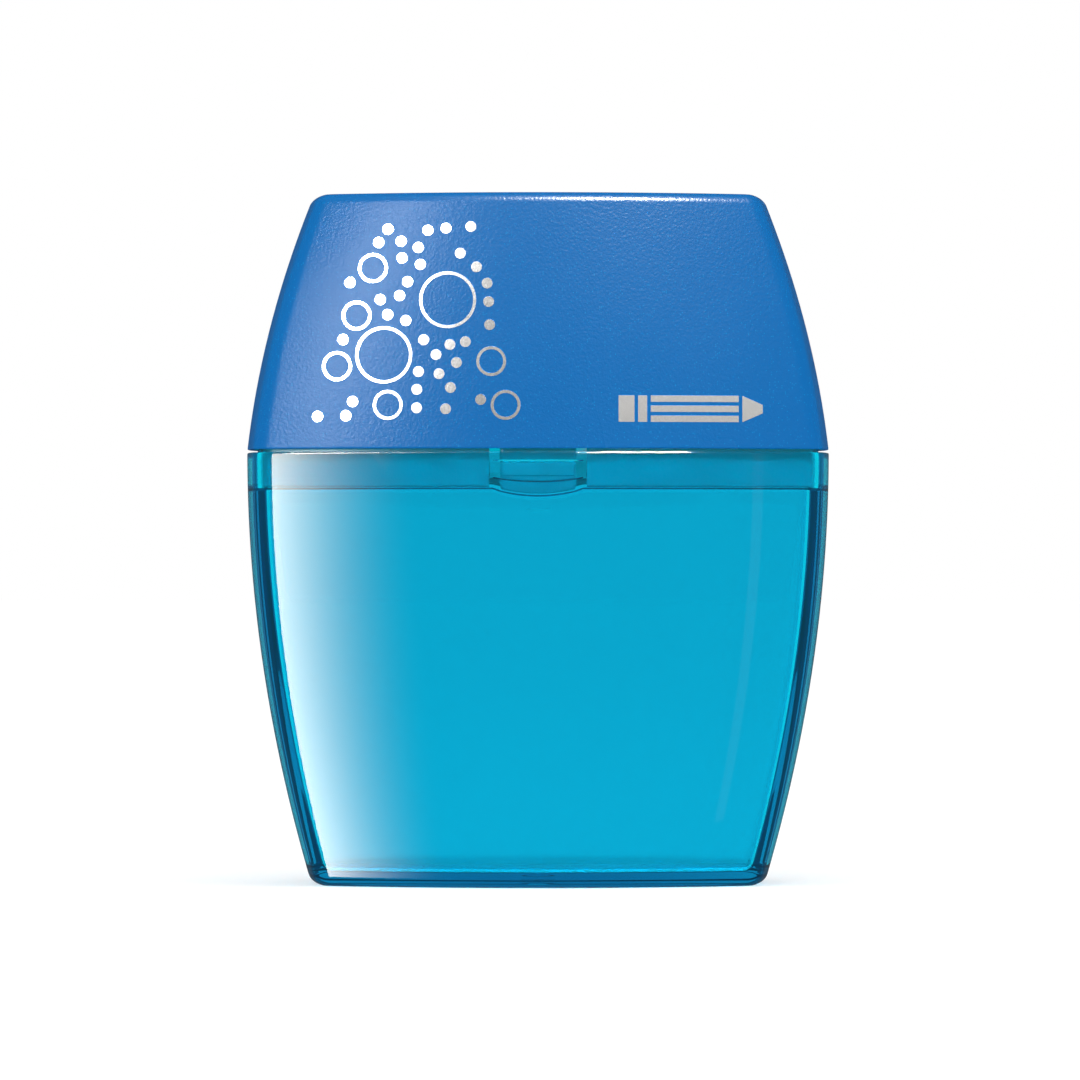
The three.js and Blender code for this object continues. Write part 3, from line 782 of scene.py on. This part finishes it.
def boolean(mesh, operation, *others):
    """mesh joined with, cut by or limited to other meshes, one after another."""
    target = bpy.data.objects.new("target", mesh)
    bpy.context.scene.collection.objects.link(target)
    tools = []
    for other in others:
        tool = bpy.data.objects.new("tool", other)
        bpy.context.scene.collection.objects.link(tool)
        modifier = target.modifiers.new("cut", "BOOLEAN")
        modifier.operation = operation
        modifier.solver = "EXACT"
        modifier.object = tool
        tools.append(tool)
    graph = bpy.context.evaluated_depsgraph_get()
    made = bpy.data.meshes.new_from_object(target.evaluated_get(graph))
    for used in (target, *tools):
        bpy.data.objects.remove(used)
    shape = bmesh.new()
    shape.from_mesh(made)
    bmesh.ops.dissolve_degenerate(shape, edges=shape.edges, dist=0.002 * mm)
    bmesh.ops.remove_doubles(shape, verts=shape.verts, dist=0.001 * mm)
    shape.to_mesh(made)
    shape.free()
    return made


# %% [markdown]
# ## Cap shell
#
# The cap is the same kind of moulding as the container, upside down: the profile starts under its
# ceiling, comes down the inside to the step for the carrier's ring, round the edge at the seam, up
# the outside and over the rounded top edge. Two holes let the pencils in.

# %% Cap shell
CAP_TOP = 1.8 * mm
CEILING = TOP_Z - CAP_TOP
RING_HIGH = CAP_Z + 2.2 * mm
STEP_Z = RING_HIGH + SEAT
HOLES = {"large": (-7.75 * mm, 5.8 * mm), "small": (7.75 * mm, 4.1 * mm)}  # place, bore radius
HOLE_MARGIN = 0.4 * mm
LIP = 0.6 * mm


def cap_profile():
    """(inset, z) from the ceiling's fillet down the inside, round the seam edge and up the
    outside to the rounded top edge."""
    return np.concatenate([
        bend((WALL + INNER_EDGE, CEILING - INNER_EDGE), INNER_EDGE, 90, 180, 5),
        run((WALL, CEILING - INNER_EDGE), (WALL, STEP_Z + TINY), 16),
        bend((WALL - TINY, STEP_Z + TINY), TINY, 0, -90, 3),
        bend((RIM_WALL + TINY, STEP_Z - TINY), TINY, 90, 180, 3),
        run((RIM_WALL, STEP_Z - TINY), (RIM_WALL, CAP_Z + TINY), 2),
        bend((RIM_WALL - TINY, CAP_Z + TINY), TINY, 0, -90, 3),
        bend((TINY, CAP_Z + TINY), TINY, -90, -180, 3),
        run((0, CAP_Z + TINY), (0, TOP_Z - EDGE), 26),
        bend((EDGE, TOP_Z - EDGE), EDGE, 180, 90, 9),
    ])


def pencil_hole(x, bore):
    """The solid that cuts one pencil hole, flared at the top for a rounded lip."""
    radius = bore + HOLE_MARGIN
    angle = np.radians(np.linspace(180, 100, 7))
    lip = np.column_stack([
        radius + LIP + LIP * np.cos(angle),
        TOP_Z - LIP + LIP * np.sin(angle),
    ])
    below, above = CEILING - 1 * mm, TOP_Z + 1 * mm
    profile = [(0, below), (radius, below), *lip, (lip[-1][0], above), (0, above)]
    return turned(profile, (x, 0))


def cap_mesh():
    """The walls closed by a flat ceiling and a flat top, less the pencil holes."""
    profile = cap_profile()
    walls = skin(profile[:, 0], profile[:, 1])
    ceiling = spread(walls[0], 1 * mm, CEILING)
    top = spread(walls[-1], 1 * mm, TOP_Z)[::-1]
    shell = grid_mesh(np.concatenate([ceiling, walls, top]), (0, 0, CEILING), (0, 0, TOP_Z))
    return boolean(shell, "DIFFERENCE", *(pencil_hole(*hole) for hole in HOLES.values()))


cap = piece("cap_moulding", cap_mesh(), "head", "satin_blue", sharp=35)
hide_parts("cap_shell")
print("cap faces:", len(cap.data.polygons))

# %% [markdown]
# ## Foil print
#
# The print shows bubbles, small dots with rings among them, on the left half of the front. They are
# strewn by a seeded draw inside a leaning outline, so the layout is this part's own. A plain pencil
# sign stands at the lower right. Each mark is a real film, a few
# hundredths of a millimetre thick, that lies on the cap's bowed front. A mark is drawn flat in x and z and
# then laid on the skin, so it stays round to someone who looks from the front.

# %% Foil marks
FILM = (-0.03 * mm, 0.015 * mm)  # its under side, inside the cap, and its face
STROKE = 0.28 * mm
PRINT_SEED = 5
# How many marks, their outer radius, and how strongly they gather low down, largest first.
MARKS = [(2, 2.7 * mm, 2.0), (6, 1.41 * mm, 1.6), (36, 0.51 * mm, 1.0)]
PRINT_LOW, PRINT_HIGH = 44.2 * mm, 63.2 * mm
PRINT_LEFT, PRINT_RIGHT = (-22.6 * mm, -16.6 * mm), (-1.6 * mm, -5.4 * mm)  # at the low and high end
CLEAR = 0.45 * mm


def strewn_marks():
    """(x, z, radius) of every mark. Each place is drawn by chance inside the print's outline, and
    kept where the mark stays clear of those before it."""
    chance = np.random.default_rng(PRINT_SEED)
    marks = []
    for count, radius, gather in MARKS:
        wanted = len(marks) + count
        while len(marks) < wanted:
            up, across = chance.random() ** gather, chance.random()
            z = PRINT_LOW + radius + up * (PRINT_HIGH - PRINT_LOW - 2 * radius)
            left = PRINT_LEFT[0] + (PRINT_LEFT[1] - PRINT_LEFT[0]) * up + radius
            right = PRINT_RIGHT[0] + (PRINT_RIGHT[1] - PRINT_RIGHT[0]) * up - radius
            x = left + across * (right - left)
            if all(math.hypot(x - a, z - b) > radius + r + CLEAR for a, b, r in marks):
                marks.append((x, z, radius))
    return marks


def front_y(x, z, inset=0.0):
    """The front skin's y at x and z: the plan's front arc, stretched to the half sizes at z."""
    wide = (half_size(z, 0) - inset) / (SEAM_HALF[0] - inset)
    deep = (half_size(z, 1) - inset) / (SEAM_HALF[1] - inset)
    reach = np.sqrt((FRONT_RADIUS - inset) ** 2 - (x / wide) ** 2)
    return -(reach - (FRONT_RADIUS - SEAM_HALF[1])) * deep


def lay(x, z, lift):
    """Points on the front skin, lifted out of it."""
    return np.stack(np.broadcast_arrays(x, front_y(x, z) - lift, z), -1)


def round_mark(x, z, outer, inner=0.0, steps=48):
    """A dot, or a ring where inner is given: circles of growing radius under the film, then back
    over its face."""
    turn = np.linspace(0, 2 * math.pi, steps, endpoint=False)
    under, face = FILM
    radii = np.linspace(inner, outer, 3)[0 if inner else 1 :]
    radius = np.concatenate([radii, radii[::-1]])[:, None]
    lift = np.repeat([under, face], len(radii))[:, None]
    rings = lay(x + radius * np.cos(turn), z + radius * np.sin(turn), lift)
    if inner:
        return grid_mesh(rings, wrap_rings=True)
    return grid_mesh(rings, lay(x, z, under), lay(x, z, face))


def four_sided_mark(corners, steps=24, across=5):
    """A film patch with four straight sides in x and z: rings round its thickness, one after
    another from its left side to its right side. Corners run low left, low right, high right, high
    left, in millimetres."""
    low_left, low_right, high_right, high_left = np.array(corners) * mm
    u = np.linspace(0, 1, steps)[:, None, None]
    v = np.linspace(0, 1, across)[None, :, None]
    low = (1 - u) * low_left + u * low_right
    high = (1 - u) * high_left + u * high_right
    flat = (1 - v) * low + v * high
    round_trip = np.concatenate([flat, flat[:, ::-1]], 1)
    under, face = FILM
    rings = lay(round_trip[..., 0], round_trip[..., 1], np.repeat([under, face], across))
    return grid_mesh(rings, rings[0].mean(0), rings[-1].mean(0))


def together(meshes):
    """One mesh that holds several separate ones."""
    shape = bmesh.new()
    for mesh in meshes:
        shape.from_mesh(mesh)
    made = bpy.data.meshes.new("together")
    shape.to_mesh(made)
    shape.free()
    return made


DOT_RADIUS = MARKS[-1][1]
strewn = strewn_marks()
dots = together([round_mark(x, z, r) for x, z, r in strewn if r == DOT_RADIUS])
rings = together([round_mark(x, z, r, r - STROKE) for x, z, r in strewn if r > DOT_RADIUS])
piece("foil_dots", dots, "head", "silver_foil")
piece("foil_rings", rings, "head", "silver_foil")

# %% Pencil sign
SIGN_LEFT, SIGN_RIGHT = 7.6, 22.2  # millimetres, as the corners below
SIGN_Z, SIGN_HALF = 45.4, 1.25
SIGN_GAP = 0.35


def pencil_sign():
    """A pencil on its side: rubber, ferrule, three-striped shaft and a point."""
    def bar(left, right, low=-SIGN_HALF, high=SIGN_HALF):
        return four_sided_mark([
            (left, SIGN_Z + low), (right, SIGN_Z + low),
            (right, SIGN_Z + high), (left, SIGN_Z + high),
        ])

    rubber_end, ferrule_end, shaft_end = SIGN_LEFT + 1.5, SIGN_LEFT + 2.7, SIGN_RIGHT - 3.2
    stripe = (2 * SIGN_HALF - 2 * SIGN_GAP) / 3
    marks = [bar(SIGN_LEFT, rubber_end), bar(rubber_end + SIGN_GAP, ferrule_end)]
    for i in range(3):
        low = i * (stripe + SIGN_GAP) - SIGN_HALF
        marks.append(bar(ferrule_end + SIGN_GAP, shaft_end, low, low + stripe))
    cone, lead = shaft_end + SIGN_GAP, SIGN_RIGHT - 0.9
    taper = SIGN_HALF * (SIGN_RIGHT - lead) / (SIGN_RIGHT - cone)
    marks.append(four_sided_mark([
        (cone, SIGN_Z - SIGN_HALF), (lead, SIGN_Z - taper),
        (lead, SIGN_Z + taper), (cone, SIGN_Z + SIGN_HALF),
    ]))
    return together(marks)


piece("foil_pencil_sign", pencil_sign(), "head", "silver_foil")
print("foil marks:", len(strewn), "bubbles and a pencil sign")

# %% [markdown]
# ## Latch tongues
#
# A tongue is a piece of the ring's wall that can flex inwards, with a curved tip and a small rib
# across it that clicks into the container's groove. Its section is drawn once in (inset, z) and
# carried across the tongue's width, while its lower end follows the tip's arc.

# %% Latch tongues
RING_INSET = RIM_WALL + SLIP
RING_WALL = 1.2 * mm
RIB_INSET = RIM_WALL + SLIP / 4


def tongue_section(low, high):
    """(inset, z) once round the tongue's section, for columns whose lower ends are at low."""
    outer, inner, round_ = RING_INSET, RING_INSET + RING_WALL, 0.2 * mm
    slope = 0.12 * mm
    face = [
        (outer, CATCH_LOW - slope), (RIB_INSET, CATCH_LOW), (RIB_INSET, CATCH_HIGH),
        (outer, CATCH_HIGH + slope),
    ]
    section = np.concatenate([
        bend((outer + round_, round_), round_, -90, -180, 4),
        [(outer, 0.6 * mm)],
        np.array(face) - (0, low.min()),
        bend((outer + round_, high - low.min() - round_), round_, 180, 90, 4),
        bend((inner - round_, high - low.min() - round_), round_, 90, 0, 4),
        [(inner, 3 * mm), (inner, 1.2 * mm)],
        bend((inner - round_, round_), round_, 0, -90, 4),
    ])
    rise = section[:, 1]
    lifted = (low[:, None] - low.min()) * (1 - soft_step(rise, 0.2 * mm, 1.6 * mm))
    return section[:, 0], low.min() + rise + lifted


def tongue_mesh(side):
    """The tongue's section across its width. side is -1 in front and 1 at the back."""
    half, fillet = TONGUE_HALF, 0.15 * mm
    inner_x = np.linspace(-half + fillet, half - fillet, 25)
    x = np.concatenate([[-half], inner_x, [half]])
    low = tongue_low.z + TIP_RADIUS - np.sqrt(TIP_RADIUS**2 - x**2)
    inset, z = tongue_section(low, tongue_high.z)
    y = front_y(x[:, None], z, inset)
    rings = np.stack([np.broadcast_to(x[:, None], z.shape), y, z], 2)
    for end in (0, -1):
        middle = rings[end].mean(0)
        rings[end, :, 1:] = middle[1:] + (rings[end, :, 1:] - middle[1:]) * 0.85
    rings[..., 1] *= -side
    rings = rings[::-1] if side < 0 else rings
    return grid_mesh(rings, rings[0].mean(0), rings[-1].mean(0))


for side, where in ((-1, "front"), (1, "back")):
    tongue = piece(f"{where}_tongue_moulding", tongue_mesh(side), f"{where}_latch", "teal_nylon")
    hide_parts(f"{where}_latch_tongue")
print("tongues reach down to mm:", round(tongue_low.z / mm, 2))

# %% [markdown]
# ## Carrier
#
# The carrier's ring and deck are one more profile round the plan, an upside-down cup. The gaps for
# the tongues and the chute for the shavings are cut through it. The cradle that holds the
# sharpener has only straight walls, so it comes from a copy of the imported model.

# %% Carrier
DECK_LOW = RING_HIGH - 1.5 * mm
CHUTE_FRONT = SEAM_HALF[1] - RING_INSET - RING_WALL - 1.6 * mm
body_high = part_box("sharpener_body")[1]
CRADLE_WALL = 1.4 * mm
TONGUE_SLOT = 1 * mm


def carrier_cup():
    """The ring with its deck: from under the deck down inside the ring and up outside it."""
    inner, fillet, foot = RING_INSET + RING_WALL, 0.25 * mm, 0.3 * mm
    profile = np.concatenate([
        bend((inner + fillet, DECK_LOW - fillet), fillet, 90, 180, 4),
        run((inner, DECK_LOW - fillet), (inner, RING_LOW + foot), 3),
        bend((inner - foot, RING_LOW + foot), foot, 0, -90, 5),
        bend((RING_INSET + foot, RING_LOW + foot), foot, -90, -180, 5),
        run((RING_INSET, RING_LOW + foot), (RING_INSET, RING_HIGH - TINY), 6),
        bend((RING_INSET + TINY, RING_HIGH - TINY), TINY, 180, 90, 3),
    ])
    walls = skin(profile[:, 0], profile[:, 1])
    under = spread(walls[0], 1 * mm, DECK_LOW)
    over = spread(walls[-1], 1 * mm, RING_HIGH)[::-1]
    return grid_mesh(np.concatenate([under, walls, over]), (0, 0, DECK_LOW), (0, 0, RING_HIGH))


def cad_copy(name):
    """A copy of a CAD node's mesh, in the part's own frame, with its loose triangles joined."""
    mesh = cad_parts[name].data.copy()
    mesh.transform(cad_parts[name].matrix_world)
    shape = bmesh.new()
    shape.from_mesh(mesh)
    bmesh.ops.remove_doubles(shape, verts=shape.verts, dist=0.001 * mm)
    shape.to_mesh(mesh)
    shape.free()
    return mesh


def carrier_mesh():
    """The cup, less the tongue gaps and the chute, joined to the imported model's cradle."""
    side = body_high.x + SLIP + CRADLE_WALL
    back = body_high.y + SLIP + CRADLE_WALL
    gap = TONGUE_HALF + TONGUE_SLOT
    far = 20 * mm  # past everything that is cut
    near = far / 2.6  # a gap starts here, well inside the ring
    gaps = [
        block((-gap, -far, RING_LOW - far), (gap, -near, DECK_LOW)),
        block((-gap, near, RING_LOW - far), (gap, far, DECK_LOW)),
    ]
    half = side - CRADLE_WALL / 2
    chute_back = back - CRADLE_WALL / 2
    chute = block((-half, -CHUTE_FRONT, DECK_LOW - far), (half, chute_back, RING_HIGH + far))
    cup = boolean(carrier_cup(), "DIFFERENCE", *gaps, chute)
    grow = 0.02 * mm
    around = block((-side - grow, -2 * mm - grow, 0), (side + grow, back + grow, TOP_Z))
    cradle = boolean(cad_copy("carrier"), "INTERSECT", around)
    return boolean(cup, "UNION", cradle)


carrier = piece("carrier_moulding", carrier_mesh(), "head", "teal_nylon", sharp=35)
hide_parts("carrier")
print("carrier faces:", len(carrier.data.polygons))

# %% [markdown]
# ## Twin sharpener, blades and screws
#
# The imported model's metal pieces already have their true shape. A real casting or a ground blade has
# edges that are broken a little, though, and its round faces are round. So each piece here is a copy
# with its flat facets joined, its sharp edges rounded by 0.05 to 0.15 mm, and smooth shading where
# the facets of a round face meet.

# %% Metal pieces
METAL_PIECES = {
    "sharpener_body": ("cast_metal", 0.15 * mm),
    "large_blade": ("blade_steel", 0.05 * mm),
    "small_blade": ("blade_steel", 0.05 * mm),
    "large_blade_screw": ("screw_brass", 0.08 * mm),
    "small_blade_screw": ("screw_brass", 0.08 * mm),
}


BROKEN_FROM = math.radians(35)


def broken_edges(name, fillet):
    """A copy of a CAD node with coplanar triangles joined and every edge sharper than
    BROKEN_FROM rounded."""
    mesh = cad_copy(name)
    shape = bmesh.new()
    shape.from_mesh(mesh)
    bmesh.ops.dissolve_limit(
        shape, angle_limit=math.radians(0.5), verts=shape.verts, edges=shape.edges
    )
    edges = [edge for edge in shape.edges if edge.calc_face_angle(0) > BROKEN_FROM]
    bmesh.ops.bevel(
        shape, geom=edges, offset=fillet, segments=2, profile=0.5, affect="EDGES", clamp_overlap=True
    )
    shape.to_mesh(mesh)
    shape.free()
    return mesh


for name, (slot, fillet) in METAL_PIECES.items():
    made = piece(f"{name}_worked", broken_edges(name, fillet), "head", slot, sharp=28)
    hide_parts(name)
print("metal pieces:", len(METAL_PIECES))
